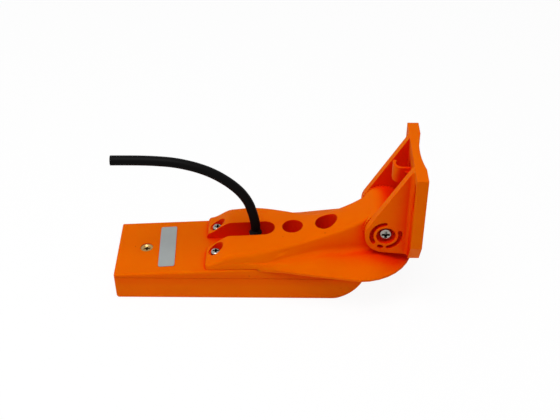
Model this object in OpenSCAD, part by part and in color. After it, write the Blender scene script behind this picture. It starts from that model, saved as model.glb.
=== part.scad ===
// Transom-mount sonar transducer: a potted wedge block under a moulded arm that tilts in a bracket.
// X runs along the boat from the block's free end to the transom plate, Z is up, the block stands on Z = 0.

/* [Block] */
// Length of the wedge block, end to bow
block_l = 200.5; // [180:0.5:206]
// Width of the block
block_w = 66.5; // [60:0.5:72]
// Height of the block at its free end
block_h = 25.2; // [24:0.2:31]
// Slope of the block's top face, in degrees
top_slope = 3.4; // [2:0.02:4]
// Length of the curved bow
bow_l = 31.5; // [24:0.5:40]
// Lean of the end face, bottom to top
end_draft = 0.9; // [0.5:0.1:4]
// Lean of the side faces, bottom to top
side_draft = 1.5; // [0.5:0.1:3]
// Radius of the bottom edge at the free end
bottom_r = 3.6; // [2:0.1:5]
// Radius of the long bottom edges
keel_r = 1.6; // [1:0.1:3]
// Radius of the top edges and upright corners
top_r = 2; // [1:0.1:3]
// Wall of the housing and the lid
wall = 4; // [3:0.1:4.6]
// Thickness of the acoustic window under the discs
window_t = 5; // [3:0.1:6]
// Height of the seam between housing and lid
seam_z = 22; // [20:0.2:23]

/* [Sounder parts] */
// Diameter of the high band disc
high_d = 30; // [20:0.5:34]
// Diameter of the low band disc
low_d = 40; // [30:0.5:42]
// Thickness of the discs
disc_t = 9; // [5:0.1:9.5]
// Wall of the backing cups
backing_t = 3.5; // [2:0.1:4]
// Place of the high band disc along the block
high_x = 58; // [50:0.5:60]
// Place of the low band disc along the block
low_x = 143; // [138:0.5:146]
// Diameter of a lead wire
wire_d = 1.6; // [1:0.1:2]

/* [Fill plug and label] */
// Head diameter of the fill plug
plug_head_d = 10; // [8:0.1:12]
// Thread diameter of the fill plug
plug_d = 5; // [4:0.1:6]
// Length of the fill plug
plug_l = 10; // [8:0.5:12]
// Place of the fill plug along the block
plug_x = 23.4; // [15:0.1:28]
// Width of the label
label_w = 13; // [10:0.5:16]
// Length of the label across the block
label_l = 50.5; // [40:0.5:53]
// Place of the label along the block
label_x = 40.5; // [38:0.5:46]
// Thickness of the label
label_t = 0.3; // [0.2:0.05:0.5]

/* [Arm] */
// Place of the arm's free end along the block
arm_x = 72.3; // [71:0.1:74]
// Width over the arm's prongs
arm_w = 63.4; // [57:0.2:65]
// Height of the prongs at their ends
prong_h = 4.5; // [4:0.1:5.4]
// Height of the arm's deck above the block
deck_h = 12.6; // [11:0.1:15]
// Width of the neck
neck_w = 31; // [25:0.2:32]
// Width of the skirt
skirt_w = 94.4; // [86:0.2:100]
// Thickness of the skirt's rim
rim_t = 2; // [1.5:0.1:3]
// Width of the cable slot
slot_w = 17; // [16:0.5:18]
// Place of the slot's round end
slot_x = 127.3; // [125:0.1:129]
// Diameter of the hole beside the slot
hole_1_d = 16.5; // [12:0.1:17]
// Place of that hole
hole_1_x = 141.4; // [140:0.1:143]
// Diameter of the hole beside the neck
hole_2_d = 17.5; // [12:0.1:18]
// Place of that hole
hole_2_x = 168.1; // [166:0.1:170]
// Number of teeth round each end of the barrel
barrel_teeth = 40; // [32:1:60]

/* [Arm screws] */
// Diameter of the screw's head
screw_head_d = 8; // [7:0.1:8.4]
// Height of the screw's head
screw_head_h = 2.5; // [2:0.1:3]
// Diameter of the screw
screw_d = 4; // [3:0.1:4.4]
// Place of the screws along the block
screw_x = 80.5; // [80:0.1:82]
// Distance between the two screws
screw_gap = 31.4; // [30:0.1:34]
// Diameter of the pocket for the head
pocket_d = 11.8; // [10:0.1:12.4]
// Length of the brass insert
insert_l = 7; // [5:0.1:8]

/* [Cable] */
// Diameter of the cable
cable_d = 7.8; // [7:0.1:8.4]
// Place of the cable gland along the block
gland_x = 111.8; // [111:0.1:113]
// Diameter of the gland's collar
gland_d = 9.2; // [9:0.1:11]
// Height of the gland's top
gland_top = 46; // [45:0.1:46]

/* [Pivot] */
// Place of the pivot along the block
pivot_x = 213.5; // [212:0.1:216]
// Height of the pivot above the block's top face
pivot_rise = 22.1; // [21:0.1:26]
// Diameter of the arm's barrel
barrel_d = 33.4; // [30:0.2:33.6]
// Diameter of the pivot bolt
bolt_d = 5; // [4:0.1:6]
// Diameter of the bolt's head
bolt_head_d = 10; // [8:0.1:11]
// Height of the bolt's head
bolt_head_h = 3; // [2:0.1:3.4]
// Width across the nut's flats
nut_flats = 8; // [7:0.1:10]
// Height of the nut
nut_h = 4; // [3:0.1:4.4]

/* [Bracket] */
// Distance between the ears
ear_gap = 37.2; // [36:0.2:40]
// Thickness of an ear
ear_t = 6.6; // [6:0.1:8]
// Radius of an ear's round end
ear_r = 16.3; // [15:0.1:18]
// Depth of the ear's counterbore and nut pocket
counterbore_h = 4.4; // [4.4:0.1:4.8]
// Diameter of the ear's counterbore
counterbore_d = 15; // [13:0.1:15.6]
// Middle radius of the arc grooves round the bolt
groove_r = 11.2; // [11:0.1:11.6]
// Width of the arc grooves
groove_w = 3.3; // [2.4:0.1:3.6]
// Depth of the arc grooves
groove_h = 4.4; // [2:0.1:5]
// Distance from the pivot to the plate
plate_gap = 17.7; // [17.7:0.1:20]
// Thickness of the plate
plate_t = 8.8; // [8:0.1:12]
// Width of the plate
plate_w = 80; // [76:0.5:90]
// Height of the plate
plate_h = 80.5; // [76:0.5:90]
// Drop from the pivot to the plate's bottom edge
plate_drop = 18; // [17.5:0.1:18.4]
// Width of the hollow in the plate's back
hollow_w = 49; // [36:0.5:52]
// Depth of the hollow in the plate's back
hollow_h = 2.9; // [1:0.1:3.5]
// Distance between the two screw slots
slot_gap = 68; // [66:0.5:70]
// Length of a screw slot
screw_slot_l = 25; // [18:0.5:27]
// Width of a screw slot
screw_slot_w = 5; // [4.8:0.1:5.6]
// Height of the cable clip
clip_h = 14; // [10:0.5:16]
// Inner radius of the cable clip
clip_r = 4.9; // [4.4:0.1:5.2]
// Thickness of the cable clip
clip_t = 2.1; // [1.6:0.1:2.4]

/* [Fits] */
// Radial clearance of a part that turns on the bolt
turn_clear = 0.07; // [0.02:0.01:0.1]
// Radial clearance of a screw or plug in its hole
fit_clear = 0.1; // [0.05:0.01:0.15]
// Side gap between two moving parts, and between arm and block
move_gap = 0.3; // [0.2:0.05:0.5]

/* [Hidden] */
$fn = 48;
far = 400;
corner_r = 2.2;
orange = "darkorange";

// Frame: the middle of the whole length is X = 0
plate_x = pivot_x + plate_gap;
overall_l = plate_x + plate_t;
rise = tan(top_slope);
function top_z(x) = block_h + rise * x;
pivot_z = top_z(pivot_x) + pivot_rise;

// Route of the cable in X and Z, from the gland's top to its cut end, in the finished frame
cable_route = [[-8.2, 46], [-8.3, 50], [-8.9, 55], [-9.9, 60], [-11.2, 65], [-13.1, 71], [-16, 77],
  [-20.4, 83.4], [-25.9, 89.2], [-32.9, 95], [-40.9, 100.2], [-50, 104.5], [-60, 107.8], [-71, 110.2],
  [-83, 111.4], [-96, 111.9], [-108, 111.9], [-119, 111.8]];

// Sounder parts
disc_top = window_t + disc_t;
backing_top = disc_top + backing_t;
bus_z = backing_top + wire_d;
wire_offset = 3;
stem_z = bus_z + 1.5 * wire_d;
boss_wall = 2;
plug_boss_wall = 3;
plug_boss_d = plug_d + 2 * plug_boss_wall;
plug_recess = 0.5;
plug_mouth = 0.74;
plug_angle_h = (plug_head_d - plug_d) / 2;
plug_sink = 0.5;
plug_dish = 1;
plug_rim = 1;
cross_arm = 0.3;
cross_well = 0.5;
label_r = 1.6;
label_turn = 1.7;

// Cable gland: stem, bead ring and round top
gland_sink = 0.8;
gland_seat_z = top_z(gland_x) - gland_sink;
stem_step = 0.5;
stem_d = gland_d - 2 * stem_step;
bead_drop = 3;
bead_r = 1;
bead_in = 0.4;

// Arm
screw_seat_h = 4;
seat_z = top_z(screw_x) + screw_seat_h;
insert_wall = 1;
insert_d = screw_d + 2 * insert_wall;
insert_sink = 0.6;
insert_top = top_z(screw_x) - insert_sink;
insert_boss_d = insert_d + 2 * boss_wall;
skirt_back = 20;
skirt_x = pivot_x - skirt_back;
skirt_start = arm_x + 38;
prong_taper = 1.2;
skirt_root = arm_w / 2 + prong_taper;
tip_past = 6.9;
tip_l = skirt_back + plate_gap + tip_past;
skirt_sink = 0.5;
skirt_z = top_z(skirt_start) - skirt_sink;
edge_soft = 2.6;
deck_soft = 4.2;
ridge_r = 3.2;
deck_swell = 1.3;
waist_dip = 1;
lift_over = 8.9;
wall_lean = 2.4;
crown_h = 1.1;
ramp_crown = 2.6;
bore_d = bolt_d + 2 * turn_clear;
tooth_root = 0.1;
tooth_h = 0.7;
tooth_l = 1.2;
barrel_l = ear_gap - 2 * move_gap;

// Bracket
ear_y = ear_gap / 2;
plate_z = pivot_z - plate_drop;
plate_top = plate_z + plate_h;
ear_angle_steps = 24;
fillet_r = 3;
plate_cut = [10, 17.3];
groove_spans = [[95, 214], [245, 254.5], [281, 378]];
groove_step = 8;
ear_step = 0.2;
slot_drop = 7;
clip_drop = 14.5;
clip_z = plate_top - clip_drop - clip_h;
clip_y = -2;
clip_reach = 6;
clip_tip = 3;
clip_bead = 3;
clip_web_t = 1.4;
clip_web = [4.5, 3.6];
hollow_r = (pow(hollow_w / 2, 2) + pow(hollow_h, 2)) / (2 * hollow_h);
seat_depth = ear_y + ear_t - counterbore_h;

function lerp(a, b, t) = a + (b - a) * t;
function clamp01(t) = max(0, min(1, t));
function smooth(a, b, x) = let (t = clamp01((x - a) / (b - a))) t * t * (3 - 2 * t);
function arc(c, r, from, to, n) = [for (i = [0 : n]) let (a = lerp(from, to, i / n))
  c + r * [cos(a), sin(a)]];
function curve(a, b, c, t) = (1 - t) * (1 - t) * a + 2 * t * (1 - t) * b + t * t * c;

// Moves a shape from block coordinates, X = 0 at the block's end, to the finished frame
module centred() {
  translate([-overall_l / 2, 0, 0])
    children();
}

// Stands a shape on the block's sloped top face
module on_top(x) {
  translate([x, 0, top_z(x)])
    rotate([0, -top_slope, 0])
      children();
}

// Outline in X and Y, extruded across the block from the X and Z axes
module across(width) {
  rotate([90, 0, 0])
    translate([0, 0, -width / 2])
      linear_extrude(height = width)
        children();
}

// Side outline of the block, drawn inside its faces by inset and above its floor by floor_z
function block_side(inset, floor_z) = let (
    r_low = max(bottom_r - inset, 0.6),
    r_top = max(top_r - inset, 0.6),
    low = [end_draft + inset + r_low, floor_z + r_low],
    high = [inset + r_top, block_h - inset - r_top],
    bow_c = [block_l - bow_l, top_z(block_l) - inset],
    bow_r = [bow_l - inset, bow_c[1] - floor_z])
  concat(
    arc(high, r_top, 90 + top_slope, 180, 5),
    arc(low, r_low, 180, 270, 6),
    [for (i = [0 : 20]) let (a = 270 + 90 * i / 20) bow_c + [bow_r[0] * cos(a), bow_r[1] * sin(a)]]);

// Wedge block with leaning ends and sides and rounded edges
module block_form() {
  half = block_w / 2;
  low_half = half - side_draft;
  intersection() {
    across(2 * block_w)
      polygon(block_side(0, 0));
    // Leaning sides and round bottom edges
    rotate([90, 0, 90])
      linear_extrude(height = far)
        polygon(concat(
          arc([keel_r - low_half, keel_r], keel_r, 180, 270, 5),
          arc([low_half - keel_r, keel_r], keel_r, 270, 360, 5),
          [[half + side_draft, 2 * block_h], [-half - side_draft, 2 * block_h]]));
    // Round top edges along the slope
    on_top(0)
      rotate([90, 0, 90])
        translate([0, 0, -block_h])
          linear_extrude(height = far)
            polygon(concat(
              [[-half, -far / 4], [half, -far / 4]],
              arc([half - top_r, -top_r], top_r, 0, 90, 5),
              arc([top_r - half, -top_r], top_r, 90, 180, 5)));
    // Round upright corners at the leaning end
    translate([end_draft - 0.05, 0, 0])
      rotate([0, -atan(end_draft / block_h), 0])
        translate([0, 0, -block_h])
          linear_extrude(height = 4 * block_h)
            polygon(concat(
              arc([corner_r, half - corner_r], corner_r, 90, 180, 5),
              arc([corner_r, corner_r - half], corner_r, 180, 270, 5),
              [[far, -half], [far, half]]));
  }
}

// Room inside the block, straight sided
module block_room(inset, floor_z) {
  across(block_w - 2 * side_draft - 2 * inset)
    polygon(block_side(inset, floor_z));
}

// Everything below or above a height
module below(z) {
  translate([-far / 2, -far / 2, z - far])
    cube(far);
}

module above(z) {
  translate([-far / 2, -far / 2, z])
    cube(far);
}

// Half width, end and bow of the block at height z
function side_half(z) = block_w / 2 - side_draft + 2 * side_draft * (z - keel_r) / (2 * block_h - keel_r);
function end_at(z) = end_draft * (1 - (z - bottom_r) / (block_h - top_r - bottom_r));
function bow_at(z) = block_l - bow_l + bow_l * sqrt(1 - pow(1 - z / top_z(block_l), 2));

// Fine groove that marks the seam all round the block
module seam_groove() {
  groove_d = 0.2;
  groove_t = 0.3;
  for (side = [0, 1])
    mirror([0, side, 0])
      translate([-1, side_half(seam_z) - groove_d, seam_z - groove_t / 2])
        cube([block_l + 2, 4, groove_t]);
  for (x = [end_at(seam_z) + groove_d - 4, bow_at(seam_z) - groove_d])
    translate([x, -block_w, seam_z - groove_t / 2])
      cube([4, 2 * block_w, groove_t]);
}

module housing() color(orange) centred() {
  difference() {
    intersection() {
      block_form();
      below(seam_z);
    }
    block_room(wall, window_t);
    seam_groove();
  }
}

module at_screws() {
  for (side = [-1, 1])
    translate([screw_x, side * screw_gap / 2, 0])
      children();
}

// Bosses under the lid for the fill plug and the two inserts, grown by extra
module lid_bosses(extra) {
  on_top(plug_x)
    translate([0, 0, -plug_l - 1 - extra])
      cylinder(d = plug_boss_d + 2 * extra, h = plug_l + 1 + extra - wall / 2);
  at_screws()
    translate([0, 0, insert_top - insert_l - 1 - extra])
      cylinder(d = insert_boss_d + 2 * extra, h = insert_l + extra);
}

module lid() color(orange) centred() {
  difference() {
    union() {
      difference() {
        intersection() {
          block_form();
          above(seam_z);
        }
        block_room(wall, window_t);
        seam_groove();
      }
      lid_bosses(0);
    }
    // Countersink and hole of the fill plug
    on_top(plug_x) {
      plug_body(fit_clear, 1);
      translate([0, 0, -far / 2])
        cylinder(d = plug_d + 2 * fit_clear, h = far / 2);
    }
    // Pockets of the inserts, with room for the screws' ends
    at_screws() {
      translate([0, 0, insert_top - insert_l])
        cylinder(d = insert_d + 2 * fit_clear, h = far);
    }
    // Flat seat and hole of the cable gland
    translate([gland_x, 0, gland_seat_z])
      cylinder(d = gland_d + 2 * fit_clear, h = far);
    translate([gland_x, 0, 0])
      cylinder(d = stem_d + 2 * fit_clear, h = far);
  }
}

module disc(x, d) {
  translate([x, 0, window_t])
    cylinder(d = d, h = disc_t);
}

module high_band_element() color("lightgray") centred() disc(high_x, high_d);

module low_band_element() color("lightgray") centred() disc(low_x, low_d);

// Soft cup over a disc, with holes for its two wires
module backing(x, d) {
  translate([x, 0, 0]) {
    difference() {
      translate([0, 0, window_t])
        cylinder(d = d + 2 * backing_t, h = disc_t + backing_t);
      translate([0, 0, window_t - 1])
        cylinder(d = d + 2 * fit_clear, h = disc_t + 1);
      for (side = [-1, 1])
        translate([0, side * wire_offset, 0])
          cylinder(d = wire_d + 2 * fit_clear, h = far);
    }
  }
}

module high_band_backing() color("tan") centred() backing(high_x, high_d);

module low_band_backing() color("tan") centred() backing(low_x, low_d);

// One wire: up from a disc, along the bus and up into the gland
module wire(x, side, extra) {
  gland_side = x < gland_x ? -1 : 1;
  end_x = gland_x + gland_side * wire_offset / 2;
  y = side * wire_offset;
  d = wire_d + 2 * extra;
  translate([x, y, disc_top])
    cylinder(d = d, h = bus_z - disc_top);
  translate([min(x, end_x), y, bus_z])
    rotate([0, 90, 0])
      cylinder(d = d, h = abs(x - end_x));
  translate([end_x, y, bus_z])
    cylinder(d = d, h = stem_z - bus_z);
  for (end = [x, end_x])
    translate([end, y, bus_z])
      sphere(d = d);
}

module wires(extra) {
  for (x = [high_x, low_x])
    for (side = [-1, 1])
      wire(x, side, extra);
}

module lead_wires() color("firebrick") centred() wires(0);

// Epoxy that fills the block round the sounder parts
module potting() color("dimgray") centred() {
  difference() {
    block_room(wall + fit_clear, window_t);
    for (row = [[high_x, high_d], [low_x, low_d]])
      translate([row[0], 0, 0])
        cylinder(d = row[1] + 2 * backing_t + 2 * fit_clear, h = backing_top);
    lid_bosses(fit_clear);
    wires(fit_clear);
    translate([gland_x, 0, stem_z])
      cylinder(d = stem_d + 2 * fit_clear, h = far);
  }
}

// Countersunk screw blank with its face at height top, grown by extra
module plug_body(extra, top) {
  head = plug_head_d / 2 + extra;
  thread = plug_d / 2 + extra;
  rotate_extrude()
    polygon([[0, top], [head, top], [head, -plug_rim], [thread, -plug_rim - plug_angle_h],
      [thread, -plug_l], [0, -plug_l]]);
}

// Cross recess, cut down from Z = 0
module cross_recess(size, depth) {
  for (turn = [0, 90])
    rotate([0, 0, turn])
      translate([-size / 2, -size * cross_arm / 2, -depth])
        cube([size, size * cross_arm, 2 * depth]);
  translate([0, 0, -depth])
    cylinder(d = size * cross_well, h = 2 * depth);
}

module fill_plug() color("goldenrod") centred() on_top(plug_x) {
  difference() {
    plug_body(0, -plug_sink);
    translate([0, 0, -plug_sink - plug_dish]) {
      cylinder(
        d1 = plug_head_d * plug_recess,
        d2 = plug_head_d * (2 * plug_mouth - plug_recess),
        h = 2 * plug_dish);
      cross_recess(plug_head_d * 0.46, 1.6);
    }
  }
}

module blank_label() color("silver") centred() on_top(label_x) {
  x = label_w / 2 - label_r;
  y = label_l / 2 - label_r;
  rotate([0, 0, label_turn])
    linear_extrude(height = label_t)
      polygon(concat(arc([x, y], label_r, 0, 90, 5), arc([-x, y], label_r, 90, 180, 5),
        arc([-x, -y], label_r, 180, 270, 5), arc([x, -y], label_r, 270, 360, 5)));
}

module screw_inserts() color("goldenrod") centred() at_screws() {
  translate([0, 0, insert_top - insert_l])
    difference() {
      cylinder(d = insert_d, h = insert_l);
      translate([0, 0, -1])
        cylinder(d = screw_d + 2 * fit_clear, h = insert_l + 2);
    }
}

// Collar with a bead ring near its top
module cable_gland() color("black") centred() translate([gland_x, 0, 0]) {
  r = gland_d / 2;
  rotate_extrude()
    polygon(concat(
      [[0, stem_z], [stem_d / 2, stem_z], [stem_d / 2, gland_seat_z], [r, gland_seat_z]],
      arc([r - bead_in, gland_top - bead_drop], bead_r, -60, 60, 8),
      arc([r - bead_in - bead_r, gland_top - bead_r], bead_r, 0, 90, 5),
      [[0, gland_top]]));
}

// Round tube along the cable's route
cable_sides = 12;
function cable_dir(i) = let (
    n = len(cable_route) - 1,
    d = cable_route[min(i + 1, n)] - cable_route[max(i - 1, 0)])
  i == 0 ? [0, 1] : d / norm(d);
cable_points = [for (i = [0 : len(cable_route) - 1]) let (d = cable_dir(i))
  for (k = [0 : cable_sides - 1]) let (a = 360 * k / cable_sides, u = cable_d / 2 * cos(a))
    [cable_route[i][0] + u * d[1], cable_d / 2 * sin(a), cable_route[i][1] - u * d[0]]];
function cap_faces(sides) = let (half = floor(sides / 2))
  concat([for (i = [0 : half - 2]) [i, i + 1, sides - 2 - i, sides - 1 - i]],
    sides % 2 == 1 ? [[half - 1, half, half + 1]] : []);
function tube_faces(rings, sides) = concat(
  [for (i = [0 : rings - 2]) for (k = [0 : sides - 1])
    let (a = i * sides + k, b = i * sides + (k + 1) % sides)
    each [[a, a + sides, b], [b, a + sides, b + sides]]],
  cap_faces(sides),
  [for (face = cap_faces(sides)) [for (k = face) rings * sides - 1 - k]]);

module cable() color("black") polyhedron(cable_points, tube_faces(len(cable_route), cable_sides));

// Arm: half width and height of the ridge, height of the crown between the ridges
ramp = [arm_x + 2.5, arm_x + 20];
swell = [arm_x + 14, arm_x + 36];
waist = [arm_x + 64, arm_x + 80];
neck = [arm_x + 33, pivot_x - 40];
lift_x = arm_x + 57.7;
barrel_end = [pivot_x - 8, pivot_x + 19];
function end_soft(x) = let (t = clamp01((arm_x + edge_soft - x) / edge_soft))
  edge_soft * (1 - sqrt(1 - t * t));
function ridge_rise(x) = lerp(prong_h, deck_h, smooth(ramp[0], ramp[1], x))
  + deck_swell * smooth(swell[0], swell[1], x) - waist_dip * smooth(waist[0], waist[1], x)
  + (pivot_rise + lift_over) * pow(max(0, (x - lift_x) / (pivot_x - lift_x)), 2.4);
function tip_fade(x) = min(1, 3.2 * rim_half(x) / skirt_w);
function foot_z(x) = skirt_z + rim_t + tip_fade(x)
  * (lerp(3.5, 4.8, smooth(skirt_start, skirt_start + 30, x)) - 2.6 * smooth(pivot_x - 22, pivot_x + 16, x));
function ridge_z(x) = lerp(top_z(x) + ridge_rise(min(x, barrel_end[0])) - end_soft(x), foot_z(x) + 0.6,
  smooth(barrel_end[0], barrel_end[1], x));
function rim_half(x) = x < skirt_start
  ? lerp(arm_w / 2, skirt_root, clamp01((x - arm_x) / (skirt_start - arm_x))) - end_soft(x)
  : x < skirt_x ? lerp(skirt_w / 2, skirt_root, pow((skirt_x - x) / (skirt_x - skirt_start), 1.05))
  : skirt_w / 2 * sqrt(max(0, 1 - pow((x - skirt_x) / tip_l, 2)));
function ridge_half(x) = min((x < skirt_x ? 1 : 0.6) * rim_half(x) - 0.6,
  lerp(arm_w / 2, neck_w / 2, smooth(neck[0], neck[1], x)) - end_soft(x) - 0.4 * smooth(arm_x, neck[0], x));
function deck_part(x) = smooth(swell[0], swell[1] - 4, x);
function crown(x) = 0.3 + (1 - smooth(neck[1], pivot_x - 14, x))
  * (ramp_crown * smooth(arm_x, arm_x + 10, x) * (1 - deck_part(x))
    + crown_h * (deck_part(x) + smooth(swell[1] + 12, waist[1], x)));
function base_z(x) = min(skirt_z, top_z(x) - 2);
function on_skirt(x) = smooth(skirt_start - 2, skirt_start + 22, x);
function rim_z(x) = lerp(lerp(base_z(x), ridge_z(x), 0.22), skirt_z + rim_t, on_skirt(x));

// One half section of the arm, from its underside round the rim, the skirt and the ridge to the crown
function half_section(x) = let (
    rim = rim_half(x),
    ridge = ridge_half(x),
    z1 = rim_z(x),
    z4 = ridge_z(x),
    foot = min(ridge + wall_lean, lerp(rim, ridge, x < skirt_x ? 0.6 : 0.4)),
    run = min(lerp(6, 5, smooth(pivot_x - 36, pivot_x - 16, x)), 0.45 * (rim - foot)),
    z2 = max(lerp(z1, z4, 0.2), min(foot_z(x), lerp(z1, z4, 0.4))),
    up = min(max(run, 1.5), 0.35 * (z4 - z2)),
    r = min(lerp(deck_soft, ridge_r, smooth(neck[0], neck[1], x)), 0.6 * (z4 - z2)),
    a = [rim, z1],
    b = [foot + run, z2],
    c = [max(foot - 0.1, ridge + 0.25), z2 + up],
    d = [ridge + 0.2, z4 - r],
    e = [ridge - r, z4 + 0.25],
    top = [0, z4 + crown(x)])
  concat(
    [[rim - 0.3 * on_skirt(x), base_z(x)]],
    [for (i = [0 : 2]) curve(a, [lerp(b[0], rim, 0.45), z2], b, i / 3)],
    [for (i = [0 : 3]) curve(b, [foot, z2], c, i / 4)],
    [c],
    [for (i = [0 : 3]) curve(d, [ridge, z4], e, i / 4)],
    [for (i = [0 : 2]) curve(e, [ridge * 0.45, top[1]], top, i / 2)]);
function whole_section(x) = let (half = half_section(x), n = len(half))
  concat(half, [for (i = [n - 2 : -1 : 0]) [-half[i][0], half[i][1]]]);
arm_stations = concat(
  [for (t = [0, 0.2, 0.6]) arm_x + t * edge_soft],
  [for (i = [0 : 7]) lerp(arm_x + edge_soft, arm_x + 22, i / 8)],
  [for (i = [0 : 21]) lerp(arm_x + 22, skirt_x, i / 22)],
  [for (i = [0 : 8]) skirt_x + tip_l * sin(10 * i)]);
arm_rings = [for (x = arm_stations) [for (p = whole_section(x)) [x, p[0], p[1]]]];

module arm_loft() {
  polyhedron([for (ring = arm_rings) each ring], tube_faces(len(arm_rings), len(arm_rings[0])),
    convexity = 10);
}

// Toothed disc that grips the ear when the bolt is tight
module tooth_ring() {
  linear_extrude(height = tooth_l)
    polygon([for (i = [0 : 2 * barrel_teeth - 1]) let (a = 180 * i / barrel_teeth)
      (barrel_d / 2 + (i % 2 == 0 ? tooth_h : -tooth_root)) * [cos(a), sin(a)]]);
}

// Stands a shape along the pivot, Z towards the bolt's head
module at_pivot() {
  translate([pivot_x, 0, pivot_z])
    rotate([90, 0, 0])
      children();
}

module barrel() {
  at_pivot() {
    cylinder(d = barrel_d, h = barrel_l - 2 * tooth_l, center = true);
    for (end = [-1, 1])
      translate([0, 0, end * (barrel_l - tooth_l) / 2 - tooth_l / 2])
        tooth_ring();
  }
}

module arm() color(orange) centred() {
  difference() {
    union() {
      arm_loft();
      barrel();
    }
    // Seat of the arm on the block
    on_top(0)
      translate([-far / 2, -block_w / 2 - move_gap, -far])
        cube([far / 2 + block_l + 3 * move_gap, block_w + 2 * move_gap, far]);
    // Cable slot, open at the prongs
    translate([0, -slot_w / 2, 0])
      cube([slot_x - slot_w / 2, slot_w, far]);
    translate([slot_x - slot_w / 2, 0, 0])
      cylinder(d = slot_w, h = far);
    for (row = [[hole_1_x, hole_1_d], [hole_2_x, hole_2_d]])
      translate([row[0], 0, 0])
        cylinder(d = row[1], h = far);
    at_screws() {
      translate([0, 0, seat_z])
        cylinder(d = pocket_d, h = far);
      cylinder(d = screw_d + 4 * fit_clear, h = far);
    }
    at_pivot()
      cylinder(d = bore_d, h = far, center = true);
  }
}

// Pan head on Z = 0 with a cross recess, and its shank below
module pan_screw(d, head_d, head_h, length) {
  difference() {
    union() {
      rotate_extrude()
        polygon(concat([[0, 0], [head_d / 2, 0]],
          arc([head_d / 2 - head_h * 0.6, head_h * 0.4], head_h * 0.6, 0, 90, 6), [[0, head_h]]));
      translate([0, 0, -length])
        cylinder(d = d, h = length);
    }
    translate([0, 0, head_h])
      cross_recess(head_d * 0.64, head_h * 0.8);
  }
}

module arm_screws() color("silver") centred() at_screws() {
  translate([0, 0, seat_z])
    pan_screw(screw_d, screw_head_d, screw_head_h, seat_z - insert_top + insert_l - 0.5);
}

// Side outline of an ear: round end at the pivot, straight edges to the plate
function tangent_angle(p, side) = atan2(p[1], p[0]) + side * acos(ear_r / norm(p));
ear_top = [plate_gap, plate_h - plate_drop - ear_step];
ear_low = [plate_gap, ear_step - plate_drop];
ear_outline = concat(
  [[plate_gap + 1, ear_top[1]], ear_top],
  arc([0, 0], ear_r, tangent_angle(ear_top, 1), 360 + tangent_angle(ear_low, -1), ear_angle_steps),
  [ear_low, [plate_gap + 1, ear_low[1]]]);

module ear_slice(y0, y1) {
  translate([pivot_x, y1, pivot_z])
    rotate([90, 0, 0])
      linear_extrude(height = y1 - y0)
        polygon(ear_outline);
}

// Hollow corner between an ear's face at y and the plate, on the given side of the ear
module ear_fillet(y, side) {
  intersection() {
    translate([plate_x - fillet_r, side > 0 ? y : y - fillet_r, 0])
      difference() {
        cube([fillet_r + 1, fillet_r, far]);
        translate([0, side > 0 ? fillet_r : 0, -1])
          cylinder(r = fillet_r, h = far);
      }
    ear_slice(-block_w, block_w);
  }
}

// Three curved grooves round the bolt, seen from outside
function groove_outline(from, to) = let (
    half = groove_w / 2,
    start = groove_r * [cos(from), sin(from)],
    end = groove_r * [cos(to), sin(to)],
    n = ceil((to - from) / groove_step))
  concat(
    arc([0, 0], groove_r + half, from, to, n),
    [for (i = [1 : 5]) end + half * [cos(to + 30 * i), sin(to + 30 * i)]],
    arc([0, 0], groove_r - half, to, from, n),
    [for (i = [1 : 5]) start + half * [cos(from + 180 + 30 * i), sin(from + 180 + 30 * i)]]);

module ear_grooves() {
  for (row = groove_spans)
    translate([0, 0, -groove_h])
      linear_extrude(height = 2 * groove_h)
        polygon(groove_outline(row[0], row[1]));
}

module plate() {
  translate([plate_x, 0, plate_z])
    rotate([90, 0, 90])
      linear_extrude(height = plate_t)
        polygon([[plate_cut[0] - plate_w / 2, 0], [plate_w / 2 - plate_cut[0], 0],
          [plate_w / 2, plate_cut[1]], [plate_w / 2, plate_h],
          [-plate_w / 2, plate_h], [-plate_w / 2, plate_cut[1]]]);
}

// Hook on the plate that holds the cable
module clip() {
  outer = clip_r + clip_t;
  c = [plate_x - clip_reach, clip_y + outer];
  translate([0, 0, clip_z]) {
    intersection() {
      translate(c)
        difference() {
          cylinder(r = outer, h = clip_h);
          translate([0, 0, -1])
            cylinder(r = clip_r, h = clip_h + 2);
        }
      translate([c[0] - outer, c[1] - outer, 0])
        cube([outer, outer, clip_h]);
    }
    translate([c[0], clip_y, 0])
      cube([plate_x - c[0] + 1, clip_t, clip_h]);
    translate([c[0] - outer, c[1], 0])
      cube([clip_t, clip_tip, clip_h]);
    translate([c[0] - outer + clip_bead / 2, c[1] + clip_tip, 0])
      cylinder(d = clip_bead, h = clip_h);
    // Small webs at the hook's root
    for (z = [clip_h * 0.3, clip_h * 0.7])
      translate([plate_x, clip_y, z])
        linear_extrude(height = clip_web_t)
          polygon([[0.5, 0.2], [-clip_web[0], 0.2], [0.5, -clip_web[1]]]);
  }
}

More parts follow.
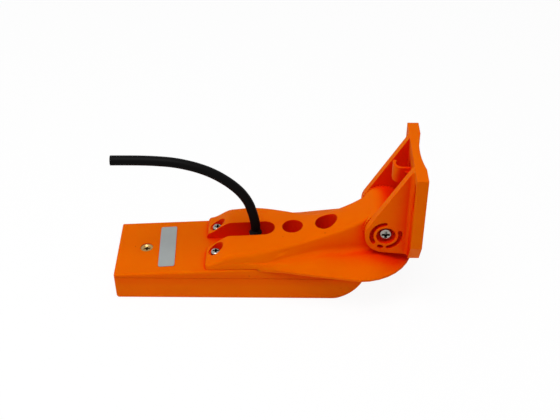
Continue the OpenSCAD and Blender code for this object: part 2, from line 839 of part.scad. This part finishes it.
module bracket() color(orange) centred() {
  difference() {
    union() {
      plate();
      for (side = [-1, 1]) {
        ear_slice(side > 0 ? ear_y : -ear_y - ear_t, side > 0 ? ear_y + ear_t : -ear_y);
        ear_fillet(side * (ear_y + ear_t), side);
      }
      clip();
    }
    // Hollow down the plate's back
    translate([plate_x + plate_t - hollow_h + hollow_r, 0, 0])
      cylinder(r = hollow_r, h = far, $fn = 120);
    // Window behind the clip that lets the hook be moulded
    translate([plate_x - 1, clip_y + clip_t + 0.5, clip_z])
      cube([plate_t + 2, 2 * clip_r - 2, clip_h]);
    // Screw slots for the transom
    for (side = [-1, 1])
      translate([plate_x - 1, side * slot_gap / 2, plate_top - slot_drop]) {
        for (z = [screw_slot_w / 2, screw_slot_l - screw_slot_w / 2])
          translate([0, 0, -z])
            rotate([0, 90, 0])
              cylinder(d = screw_slot_w, h = plate_t + 2);
        translate([0, -screw_slot_w / 2, screw_slot_w / 2 - screw_slot_l])
          cube([plate_t + 2, screw_slot_w, screw_slot_l - screw_slot_w]);
      }
    at_pivot() {
      cylinder(d = bolt_d + 2 * fit_clear, h = far, center = true);
      translate([0, 0, seat_depth])
        cylinder(d = counterbore_d, h = far);
      translate([0, 0, ear_y + ear_t])
        ear_grooves();
      translate([0, 0, -seat_depth])
        mirror([0, 0, 1])
          cylinder(d = (nut_flats + 2 * fit_clear) / cos(30), h = far, $fn = 6);
      translate([0, 0, -ear_y - ear_t])
        mirror([0, 0, 1])
          ear_grooves();
    }
  }
}

module pivot_bolt() color("silver") centred() at_pivot() {
  translate([0, 0, seat_depth])
    pan_screw(bolt_d, bolt_head_d, bolt_head_h, 2 * seat_depth + nut_h);
}

module pivot_nut() color("silver") centred() at_pivot() {
  translate([0, 0, -seat_depth - nut_h])
    difference() {
      cylinder(d = nut_flats / cos(30), h = nut_h, $fn = 6);
      translate([0, 0, -1])
        cylinder(d = bolt_d + 2 * turn_clear, h = nut_h + 2);
      translate([0, 0, -1])
        cylinder(d = bolt_d + 1.8, h = 1 + nut_h * 0.3);
    }
}

module lock_ring() color("white") centred() at_pivot() {
  translate([0, 0, -seat_depth - nut_h])
    difference() {
      cylinder(d = bolt_d + 1.7, h = nut_h * 0.3);
      translate([0, 0, -1])
        cylinder(d = bolt_d + 2 * turn_clear, h = nut_h + 2);
    }
}

housing();
lid();
high_band_element();
low_band_element();
high_band_backing();
low_band_backing();
potting();
lead_wires();
fill_plug();
blank_label();
screw_inserts();
cable_gland();
cable();
arm();
arm_screws();
bracket();
pivot_bolt();
pivot_nut();
lock_ring();
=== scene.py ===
# %% [markdown]
# A transom sonar transducer in a studio picture.
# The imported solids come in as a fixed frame: a potted wedge block, a moulded arm on top of it, and the
# bracket in which the arm tilts. This lesson gives them their surfaces, their cable and their light.

# %% Load the frame
from math import radians

import bmesh
import bpy
from mathutils import Matrix, Vector


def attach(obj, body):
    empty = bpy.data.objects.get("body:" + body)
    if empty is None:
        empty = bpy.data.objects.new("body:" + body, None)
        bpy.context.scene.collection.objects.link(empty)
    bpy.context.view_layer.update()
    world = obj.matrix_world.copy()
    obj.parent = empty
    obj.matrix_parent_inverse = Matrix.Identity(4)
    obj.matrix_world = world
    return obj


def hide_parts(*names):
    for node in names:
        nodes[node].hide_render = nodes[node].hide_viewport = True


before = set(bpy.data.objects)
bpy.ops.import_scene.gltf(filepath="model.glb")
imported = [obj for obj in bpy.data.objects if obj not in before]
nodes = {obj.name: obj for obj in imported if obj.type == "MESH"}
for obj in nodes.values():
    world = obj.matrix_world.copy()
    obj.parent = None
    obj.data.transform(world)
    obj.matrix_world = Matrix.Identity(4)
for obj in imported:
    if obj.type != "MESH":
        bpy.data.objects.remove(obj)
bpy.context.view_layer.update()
scene = bpy.context.scene
scene.view_settings.view_transform = "Standard"
MM = 0.001
print("nodes loaded:", len(nodes))

# %% [markdown]
# The camera looks down on the block from its near side, a little under forty degrees, with a longish lens.
# A long lens keeps the near and far edges almost parallel, as in a catalogue picture. The place and the
# angles are plain numbers, so that the frame never depends on what else is in the scene.

# %% Camera
CAMERA_PLACE = (0.008685, -0.68382, 0.58422)
CAMERA_PAN, CAMERA_TILT, CAMERA_ROLL = -0.2166, 52.8135, 0.5522
LENS, SENSOR = 69.775, 36


def turn(degrees, axis):
    """A rotation about one axis."""
    return Matrix.Rotation(radians(degrees), 3, axis)


camera = bpy.data.objects.new("camera", bpy.data.cameras.new("camera"))
scene.collection.objects.link(camera)
camera.location = CAMERA_PLACE
aim = turn(CAMERA_PAN, "Z") @ turn(CAMERA_TILT, "X") @ turn(CAMERA_ROLL, "Z")
camera.rotation_euler = aim.to_euler()
camera.data.lens = LENS
camera.data.sensor_width = SENSOR
scene.camera = camera
print("camera at", CAMERA_PLACE, "with a lens of", LENS, "mm")

# %% [markdown]
# The cable leaves the gland straight up and bends over towards the free end, held up by its own stiffness.
# A cable is best made as a curve with a round bevel: the curve is the middle line, so its length can be
# read off, and the bevel is the jacket. The bevel is one metre deep and each point scales it down by its
# own radius, because the curve's box is grown by that radius. The points, in millimetres along x and z,
# repeat the route of the solid that the jacket stands for.

# %% Cable jacket
CABLE_D = 7.8 * MM
ROUTE = [(-8.2, 46), (-8.3, 50), (-8.9, 55), (-9.9, 60), (-11.2, 65), (-13.1, 71), (-16, 77),
         (-20.4, 83.4), (-25.9, 89.2), (-32.9, 95), (-40.9, 100.2), (-50, 104.5), (-60, 107.8),
         (-71, 110.2), (-83, 111.4), (-96, 111.9), (-108, 111.9), (-119, 111.8)]

line = bpy.data.curves.new("cable_jacket", "CURVE")
line.dimensions = "3D"
spline = line.splines.new("BEZIER")
spline.bezier_points.add(len(ROUTE) - 1)
for point, (x, z) in zip(spline.bezier_points, ROUTE):
    point.co = (x * MM, 0, z * MM)
    point.handle_left_type = point.handle_right_type = "AUTO"
    point.radius = CABLE_D / 2
spline.resolution_u = 6
line.bevel_depth = 1
line.bevel_resolution = 7
line.use_fill_caps = True
cable = bpy.data.objects.new("cable_jacket", line)
scene.collection.objects.link(cable)

# %% [markdown]
# The far end of the cable is cut square, so the cut shows what is inside: a pale filler and the cores.
# Short cylinders that stand a hair proud of the jacket's end do this, each with a soft rim.


# %% Cores in the cut end
def new_piece(name, shape, body):
    """Turns a finished bmesh into a piece that rides on a body."""
    mesh = bpy.data.meshes.new(name)
    shape.to_mesh(mesh)
    shape.free()
    piece = bpy.data.objects.new(name, mesh)
    scene.collection.objects.link(piece)
    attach(piece, body)
    return piece


CUT = Vector((ROUTE[-1][0], 0, ROUTE[-1][1])) * MM
CORE_LENGTH = 1 * MM
CORE_PLACES = [(-1.25, -0.7), (1.25, -0.7), (0, 1.4)]
RIM_ANGLE = 1.0
RIM_SHARE = 0.6


def add_core(shape, y, z, diameter, proud):
    """A short round core in the cut end, its rim softened; all sizes are in millimetres."""
    place = CUT + Vector((CORE_LENGTH / 2 - proud * MM, y * MM, z * MM))
    made = bmesh.ops.create_cone(
        shape, cap_ends=True, segments=24, radius1=diameter * MM / 2, radius2=diameter * MM / 2,
        depth=CORE_LENGTH, matrix=Matrix.Translation(place) @ Matrix.Rotation(radians(90), 4, "Y"))
    fresh = set(made["verts"])
    rim = [e for e in shape.edges if all(v in fresh and v.co.x < CUT.x for v in e.verts)
           and len(e.link_faces) == 2 and e.calc_face_angle() > RIM_ANGLE]
    bmesh.ops.bevel(shape, geom=rim, offset=proud * MM * RIM_SHARE, offset_type="OFFSET", segments=2,
                    profile=0.5, affect="EDGES", material=-1)


def cut_end(name, places, diameter, proud):
    """One piece of equal cores in the cut end."""
    shape = bmesh.new()
    for y, z in places:
        add_core(shape, y, z, diameter, proud)
    piece = new_piece(name, shape, "transducer")
    print(name, "has", len(piece.data.polygons), "faces")
    return piece


cable_filler = cut_end("cable_filler", [(0, 0)], 5.6, 0.1)
cable_cores = cut_end("cable_cores", CORE_PLACES, 1.9, 0.2)
cable_strands = cut_end("cable_strands", CORE_PLACES, 0.9, 0.28)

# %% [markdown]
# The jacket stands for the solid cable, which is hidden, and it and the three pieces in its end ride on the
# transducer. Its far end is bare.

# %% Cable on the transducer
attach(cable, "transducer")
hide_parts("cable")
print("cord declared:", cable.name)

# %% [markdown]
# The arm is one moulding whose walls sweep from a flat fork to a round barrel. Its solid is made of flat
# facets. A copy with its triangles merged can be shaded smooth, with sharp edges kept where two faces meet
# at a clear angle, so the sweep reads as one surface and the rims of the holes stay crisp.

# %% Smooth moulding of the arm
MERGE_WITHIN = 0.002 * MM
SLIVER_WITHIN = 0.001 * MM
CREASE = radians(32)

smooth_arm = bmesh.new()
smooth_arm.from_mesh(nodes["arm"].data)
bmesh.ops.remove_doubles(smooth_arm, verts=smooth_arm.verts, dist=MERGE_WITHIN)
bmesh.ops.dissolve_degenerate(smooth_arm, edges=smooth_arm.edges, dist=SLIVER_WITHIN)
for face in smooth_arm.faces:
    face.smooth = True
for edge in smooth_arm.edges:
    edge.smooth = len(edge.link_faces) == 2 and edge.calc_face_angle() < CREASE
arm = new_piece("arm_moulding", smooth_arm, "transducer")
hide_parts("arm")
print("arm faces:", len(arm.data.polygons))

# %% [markdown]
# Finishes share small effects: a fine grain, a slow drift of tone, dust, and painted shade, a darker tint in
# hollows where shade falls. Each could be drawn anew in every material. A shader node group is built once
# instead, and every material uses it with its own scale and strength. Two helpers make the groups and their
# nodes.


# %% Node helpers
def new_group(name, inputs, outputs):
    """An empty shader node group with named sockets, and its two end nodes."""
    group = bpy.data.node_groups.new(name, "ShaderNodeTree")
    for label, kind, value in inputs:
        socket = group.interface.new_socket(label, in_out="INPUT", socket_type=kind)
        if value is not None:
            socket.default_value = value
    for label, kind in outputs:
        group.interface.new_socket(label, in_out="OUTPUT", socket_type=kind)
    print("group", name)
    return group, group.nodes.new("NodeGroupInput"), group.nodes.new("NodeGroupOutput")


def add(tree, kind, **values):
    """Adds a node and sets its named properties and input values."""
    node = tree.nodes.new(kind)
    for key, value in values.items():
        if hasattr(node, key):
            setattr(node, key, value)
        else:
            node.inputs[key.replace("_", " ")].default_value = value
    return node


# %% [markdown]
# Moulded plastic takes a fine grain from its tool, and its colour drifts slowly. Two noises at very different
# scales give both.

# %% Grain and tone
grain, g_in, g_out = new_group(
    "moulded_grain",
    [("Vector", "NodeSocketVector", None), ("Grain Scale", "NodeSocketFloat", 1800.0),
     ("Tone Scale", "NodeSocketFloat", 30.0)],
    [("Height", "NodeSocketFloat"), ("Tone", "NodeSocketFloat")])
fine = add(grain, "ShaderNodeTexNoise", Detail=3.0, Roughness=0.6)
slow = add(grain, "ShaderNodeTexNoise", Detail=2.0, Roughness=0.5)
for noise, size in ((fine, "Grain Scale"), (slow, "Tone Scale")):
    grain.links.new(g_in.outputs["Vector"], noise.inputs["Vector"])
    grain.links.new(g_in.outputs[size], noise.inputs["Scale"])
grain.links.new(fine.outputs["Fac"], g_out.inputs["Height"])
grain.links.new(slow.outputs["Fac"], g_out.inputs["Tone"])

# %% [markdown]
# Dust lies in single specks. A Voronoi texture cuts space into cells: a share of the cells is chosen by their
# random colour, and a soft dot is drawn round the middle of each chosen one.

# %% Dust specks
dust, d_in, d_out = new_group(
    "dust_specks",
    [("Vector", "NodeSocketVector", None), ("Scale", "NodeSocketFloat", 150.0),
     ("Share", "NodeSocketFloat", 0.05), ("Size", "NodeSocketFloat", 0.1)],
    [("Mask", "NodeSocketFloat")])
cells = add(dust, "ShaderNodeTexVoronoi")
chosen = add(dust, "ShaderNodeMath", operation="LESS_THAN")
near = add(dust, "ShaderNodeMapRange", interpolation_type="SMOOTHSTEP", From_Min=0.0, To_Min=1.0, To_Max=0.0)
pick = add(dust, "ShaderNodeSeparateColor")
both = add(dust, "ShaderNodeMath", operation="MULTIPLY")
dust.links.new(d_in.outputs["Vector"], cells.inputs["Vector"])
dust.links.new(d_in.outputs["Scale"], cells.inputs["Scale"])
dust.links.new(cells.outputs["Distance"], near.inputs["Value"])
dust.links.new(d_in.outputs["Size"], near.inputs["From Max"])
dust.links.new(cells.outputs["Color"], pick.inputs["Color"])
dust.links.new(pick.outputs["Red"], chosen.inputs[0])
dust.links.new(d_in.outputs["Share"], chosen.inputs[1])
dust.links.new(near.outputs["Result"], both.inputs[0])
dust.links.new(chosen.outputs["Value"], both.inputs[1])
dust.links.new(both.outputs["Value"], d_out.inputs["Mask"])

# %% [markdown]
# Holes, pockets and the roots of walls get painted shade: their base colour is tinted where shade falls.
# Ambient
# Occlusion measures how much of the sky a point sees, within a reach. The floor hides sky as well, so the mask
# fades out near it.

# %% Painted shade mask
OPEN_SKY, CLOSED_SKY = 0.98, 0.5
FLOOR_FADE = (12 * MM, 26 * MM)

painted_shade_group, r_in, r_out = new_group(
    "painted_shade_mask", [("Vector", "NodeSocketVector", None), ("Reach", "NodeSocketFloat", 0.03)],
    [("Mask", "NodeSocketFloat")])
sky_seen = add(painted_shade_group, "ShaderNodeAmbientOcclusion", samples=8)
closed = add(painted_shade_group, "ShaderNodeMapRange", interpolation_type="SMOOTHSTEP", From_Min=OPEN_SKY,
             From_Max=CLOSED_SKY)
height = add(painted_shade_group, "ShaderNodeSeparateXYZ")
off_floor = add(painted_shade_group, "ShaderNodeMapRange", interpolation_type="SMOOTHSTEP", From_Min=FLOOR_FADE[0],
                From_Max=FLOOR_FADE[1])
hidden = add(painted_shade_group, "ShaderNodeMath", operation="MULTIPLY")
painted_shade_group.links.new(r_in.outputs["Reach"], sky_seen.inputs["Distance"])
painted_shade_group.links.new(sky_seen.outputs["AO"], closed.inputs["Value"])
painted_shade_group.links.new(r_in.outputs["Vector"], height.inputs["Vector"])
painted_shade_group.links.new(height.outputs["Z"], off_floor.inputs["Value"])
painted_shade_group.links.new(closed.outputs["Result"], hidden.inputs[0])
painted_shade_group.links.new(off_floor.outputs["Result"], hidden.inputs[1])
painted_shade_group.links.new(hidden.outputs["Value"], r_out.inputs["Mask"])

# %% [markdown]
# One helper lays out what all the finishes have in common: two close tones mixed by the slow noise, specks
# laid over them, painted shade (a darker tint in the hollows) where one is given, roughness that follows the
# grain, and a bump. The bump starts from a Bevel node, which rounds the normals along hard edges, because a
# moulded edge always has a small radius that catches the light. A Mix node's colour sockets are found by
# number, because its number, vector and colour sockets share their names.

# %% Finish helper
MIX_A, MIX_B, MIXED = 6, 7, 2
BUMP_STRENGTH = 0.6


def srgb(*seen):
    """A colour written as it is seen on the screen, 0 to 255, as the linear values that a shader takes."""
    return tuple(c / 255 / 12.92 if c <= 10 else ((c / 255 + 0.055) / 1.055) ** 2.4 for c in seen) + (1,)


def mix(tree, share, below, over):
    """Mixes a colour over another by a share; below is a socket or a colour, over is a colour."""
    node = add(tree, "ShaderNodeMix", data_type="RGBA")
    tree.links.new(share, node.inputs[0])
    if isinstance(below, tuple):
        node.inputs[MIX_A].default_value = below
    else:
        tree.links.new(below, node.inputs[MIX_A])
    node.inputs[MIX_B].default_value = over
    return node.outputs[MIXED]


def finish(name, light, dark, rough, grain_scale=1800, grain_depth=0.02, edge=0.5, speck=(60, 25, 10),
           share=0.03, tone_scale=30, painted_shade_colour=None, reach=30, **shader):
    """A procedural material. Colours are as seen, rough is the lowest and the highest roughness, and the
    grain's depth, the edge's radius and the reach are in millimetres."""
    material = bpy.data.materials.new(name)
    material.use_nodes = True
    tree = material.node_tree
    link = tree.links.new
    skin = tree.nodes["Principled BSDF"]
    for key, value in shader.items():
        skin.inputs[key.replace("_", " ")].default_value = value
    place = add(tree, "ShaderNodeTexCoord").outputs["Object"]
    surface = add(tree, "ShaderNodeGroup", node_tree=grain)
    surface.inputs["Grain Scale"].default_value = grain_scale
    surface.inputs["Tone Scale"].default_value = tone_scale
    link(place, surface.inputs["Vector"])
    specks = add(tree, "ShaderNodeGroup", node_tree=dust)
    specks.inputs["Share"].default_value = share
    link(place, specks.inputs["Vector"])
    colour = mix(tree, surface.outputs["Tone"], srgb(*light), srgb(*dark))
    colour = mix(tree, specks.outputs["Mask"], colour, srgb(*speck))
    # Painted shade: the base colour takes a darker tint where the hollows hide the sky.
    if painted_shade_colour:
        painted_shade_node = add(tree, "ShaderNodeGroup", node_tree=painted_shade_group)
        painted_shade_node.inputs["Reach"].default_value = reach * MM
        link(place, painted_shade_node.inputs["Vector"])
        colour = mix(tree, painted_shade_node.outputs["Mask"], colour, srgb(*painted_shade_colour))
    link(colour, skin.inputs["Base Color"])
    gloss = add(tree, "ShaderNodeMapRange", To_Min=rough[0], To_Max=rough[1])
    link(surface.outputs["Height"], gloss.inputs["Value"])
    link(gloss.outputs["Result"], skin.inputs["Roughness"])
    round_edge = add(tree, "ShaderNodeBevel", samples=6, Radius=edge * MM)
    bump = add(tree, "ShaderNodeBump", Strength=BUMP_STRENGTH, Distance=grain_depth * MM)
    link(surface.outputs["Height"], bump.inputs["Height"])
    link(round_edge.outputs["Normal"], bump.inputs["Normal"])
    link(bump.outputs["Normal"], skin.inputs["Normal"])
    return material


def wear(material, *pieces):
    """Gives pieces one material all over."""
    for piece in pieces:
        piece.data.materials.clear()
        piece.data.materials.append(material)
    print(material.name, "on", [piece.name for piece in pieces])


# %% [markdown]
# The housing, the lid, the arm and the bracket are moulded in one bright orange plastic with a satin face.
# In shade this plastic turns red, because light that bounces between orange walls loses its green first. The
# render alone shows too little of that, so the hollows get painted shade: a deep red tint in their base colour
# stands in for that bounced light. A little subsurface scattering with a long red radius helps it along, and
# the gloss is kept low and tinted.

# %% Orange plastic
orange = finish("orange_plastic", (222, 98, 0), (214, 91, 0), (0.42, 0.56), grain_depth=0.03, share=0.12,
                painted_shade_colour=(216, 30, 0), reach=40, Subsurface_Weight=0.3,
                Subsurface_Radius=(1.0, 0.2, 0.02), Subsurface_Scale=3 * MM,
                Specular_IOR_Level=0.02, Specular_Tint=(1.0, 0.4, 0.03, 1.0))
wear(orange, arm, nodes["housing"], nodes["lid"], nodes["bracket"])

# %% [markdown]
# The cable jacket and its gland are black: soft vinyl with a faint sheen on the cable, and duller rubber on
# the gland. An extruded jacket is nearly smooth, so its grain is coarser and far shallower than the gland's.

# %% Black rubber and vinyl
vinyl = finish("black_vinyl", (10, 9, 9), (8, 7, 7), (0.4, 0.5), grain_scale=900, grain_depth=0.006,
               speck=(40, 38, 36), share=0.03, Specular_IOR_Level=0.04)
rubber = finish("black_rubber", (13, 13, 13), (9, 9, 9), (0.45, 0.62), grain_scale=2200,
                grain_depth=0.03, edge=0.25, speck=(36, 35, 34), share=0.04, Specular_IOR_Level=0.06)
wear(vinyl, cable)
wear(rubber, nodes["cable_gland"])

# %% [markdown]
# The fasteners are metal: stainless screws and nut, a brass fill plug and brass inserts. Metal gets its look
# from its reflections, so the two tones stay close and the roughness does most of the work. The recesses for
# the driver are small, and the painted shade that darkens them in the base colour has a short reach here.

# %% Metals
# Painted shade: a near-black tint in the steel's driver recesses.
steel = finish("stainless_steel", (162, 158, 150), (140, 136, 130), (0.16, 0.32), grain_scale=3000,
               grain_depth=0.01, edge=0.2, speck=(70, 66, 60), share=0.02, painted_shade_colour=(12, 11, 10),
               reach=2.5, Metallic=1.0)
# Painted shade: a dark brown tint in the brass's hollows, such as the plug's driver recess.
brass = finish("brass", (190, 152, 96), (162, 126, 74), (0.18, 0.36), grain_scale=2600, grain_depth=0.01,
               edge=0.2, speck=(84, 58, 26), share=0.06, tone_scale=120, painted_shade_colour=(44, 22, 6), reach=3,
               Metallic=1.0)
wear(steel, nodes["arm_screws"], nodes["pivot_bolt"], nodes["pivot_nut"])
wear(brass, nodes["fill_plug"], nodes["screw_inserts"], cable_strands)

# %% [markdown]
# The label is a plain grey film on the block's top, matt, with a slow drift of tone.

# %% Label film
film = finish("grey_label", (153, 158, 157), (145, 149, 149), (0.42, 0.56), grain_scale=1200,
              grain_depth=0.01, edge=0.1, speck=(90, 92, 92), share=0.02, tone_scale=90,
              Specular_IOR_Level=0.15)
wear(film, nodes["blank_label"])

# %% [markdown]
# The sounder parts inside the block can only be seen when it is taken apart, but each has a finish of its own:
# fired ceramic discs in cork cups, red wires and grey epoxy. The wires' sleeve and the white nylon of the lock
# nut's ring also serve the cable's cut end.

# %% Inner parts
ceramic = finish("piezo_ceramic", (196, 190, 176), (184, 176, 160), (0.4, 0.55), grain_scale=1500,
                 grain_depth=0.02, edge=0.3, share=0.01)
cork = finish("cork_backing", (176, 134, 88), (132, 92, 54), (0.75, 0.9), grain_scale=700,
              grain_depth=0.15, edge=0.4, speck=(70, 44, 24), share=0.3, tone_scale=400)
epoxy = finish("potting_epoxy", (74, 76, 78), (62, 64, 66), (0.3, 0.42), grain_scale=400,
               grain_depth=0.04, edge=0.3, share=0.02)
sleeve = finish("wire_sleeve", (176, 34, 26), (160, 26, 20), (0.34, 0.44), edge=0.1, share=0.0)
nylon = finish("white_nylon", (226, 224, 216), (214, 212, 204), (0.4, 0.55), edge=0.1, share=0.01)
wear(ceramic, nodes["high_band_element"], nodes["low_band_element"])
wear(cork, nodes["high_band_backing"], nodes["low_band_backing"])
wear(epoxy, nodes["potting"])
wear(sleeve, nodes["lead_wires"], cable_cores)
wear(nylon, nodes["lock_ring"], cable_filler)

# %% [markdown]
# The stage is a white floor that runs out of the picture. To the camera, and in reflections, it is mostly
# plain white, with just enough of the lit floor mixed in to keep a faint shadow under the object.

# %% Floor
FLOOR_HALF = 6
FLOOR_COLOUR = (0.92, 0.92, 0.92, 1)
FLOOR_ROUGHNESS = 0.9
PLAIN_WHITE_SHARE = 0.93


def seen_directly(tree):
    """One for camera, glossy and transmission rays, zero for the rays that carry light."""
    path = add(tree, "ShaderNodeLightPath")
    first = add(tree, "ShaderNodeMath", operation="MAXIMUM")
    second = add(tree, "ShaderNodeMath", operation="MAXIMUM")
    tree.links.new(path.outputs["Is Camera Ray"], first.inputs[0])
    tree.links.new(path.outputs["Is Glossy Ray"], first.inputs[1])
    tree.links.new(first.outputs["Value"], second.inputs[0])
    tree.links.new(path.outputs["Is Transmission Ray"], second.inputs[1])
    return second.outputs["Value"]


floor_shape = bmesh.new()
bmesh.ops.create_grid(floor_shape, x_segments=1, y_segments=1, size=FLOOR_HALF)
floor_mesh = bpy.data.meshes.new("floor")
floor_shape.to_mesh(floor_mesh)
floor_shape.free()
floor = bpy.data.objects.new("floor", floor_mesh)
scene.collection.objects.link(floor)

paper = bpy.data.materials.new("white_floor")
paper.use_nodes = True
tree = paper.node_tree
lit = tree.nodes["Principled BSDF"]
lit.inputs["Base Color"].default_value = FLOOR_COLOUR
lit.inputs["Roughness"].default_value = FLOOR_ROUGHNESS
white = add(tree, "ShaderNodeEmission", Strength=1.0)
blend = add(tree, "ShaderNodeMixShader")
part = add(tree, "ShaderNodeMath", operation="MULTIPLY")
part.inputs[1].default_value = PLAIN_WHITE_SHARE
tree.links.new(seen_directly(tree), part.inputs[0])
tree.links.new(part.outputs["Value"], blend.inputs[0])
tree.links.new(lit.outputs["BSDF"], blend.inputs[1])
tree.links.new(white.outputs["Emission"], blend.inputs[2])
tree.links.new(blend.outputs["Shader"], tree.nodes["Material Output"].inputs["Surface"])
floor_mesh.materials.append(paper)
print("floor", 2 * FLOOR_HALF, "m wide")

# %% [markdown]
# The world behind the floor is white where it is seen, and gives the object only a weak light from all round,
# which fills the shadows.

# %% World
WORLD_LIGHT, WORLD_SEEN = 0.3, 1.0

world = bpy.data.worlds.new("studio")
scene.world = world
world.use_nodes = True
sky = world.node_tree.nodes["Background"]
level = add(world.node_tree, "ShaderNodeMapRange", To_Min=WORLD_LIGHT, To_Max=WORLD_SEEN)
world.node_tree.links.new(seen_directly(world.node_tree), level.inputs["Value"])
world.node_tree.links.new(level.outputs["Result"], sky.inputs["Strength"])
sky.inputs["Color"].default_value = (1, 1, 1, 1)
print("world light", WORLD_LIGHT)

# %% [markdown]
# Soft boxes light the object: a broad one above and a little in front, and a weaker one from the left.
# Large lamps near the object give the soft, short shadows of a product picture.

# %% Lamps
LIT_POINT = Vector((0, 0, 0.03))


def soft_box(name, place, size, power):
    """A square area lamp that looks at the object's middle."""
    lamp = bpy.data.lights.new(name, "AREA")
    lamp.size = size
    lamp.energy = power
    holder = bpy.data.objects.new(name, lamp)
    scene.collection.objects.link(holder)
    holder.location = place
    holder.rotation_euler = (LIT_POINT - Vector(place)).to_track_quat("-Z", "Y").to_euler()
    print(name, "of", power, "W")


soft_box("top_box", (-0.15, -0.3, 1.2), size=0.8, power=12.4)
soft_box("left_box", (-0.8, -0.45, 0.45), size=0.6, power=1.4)
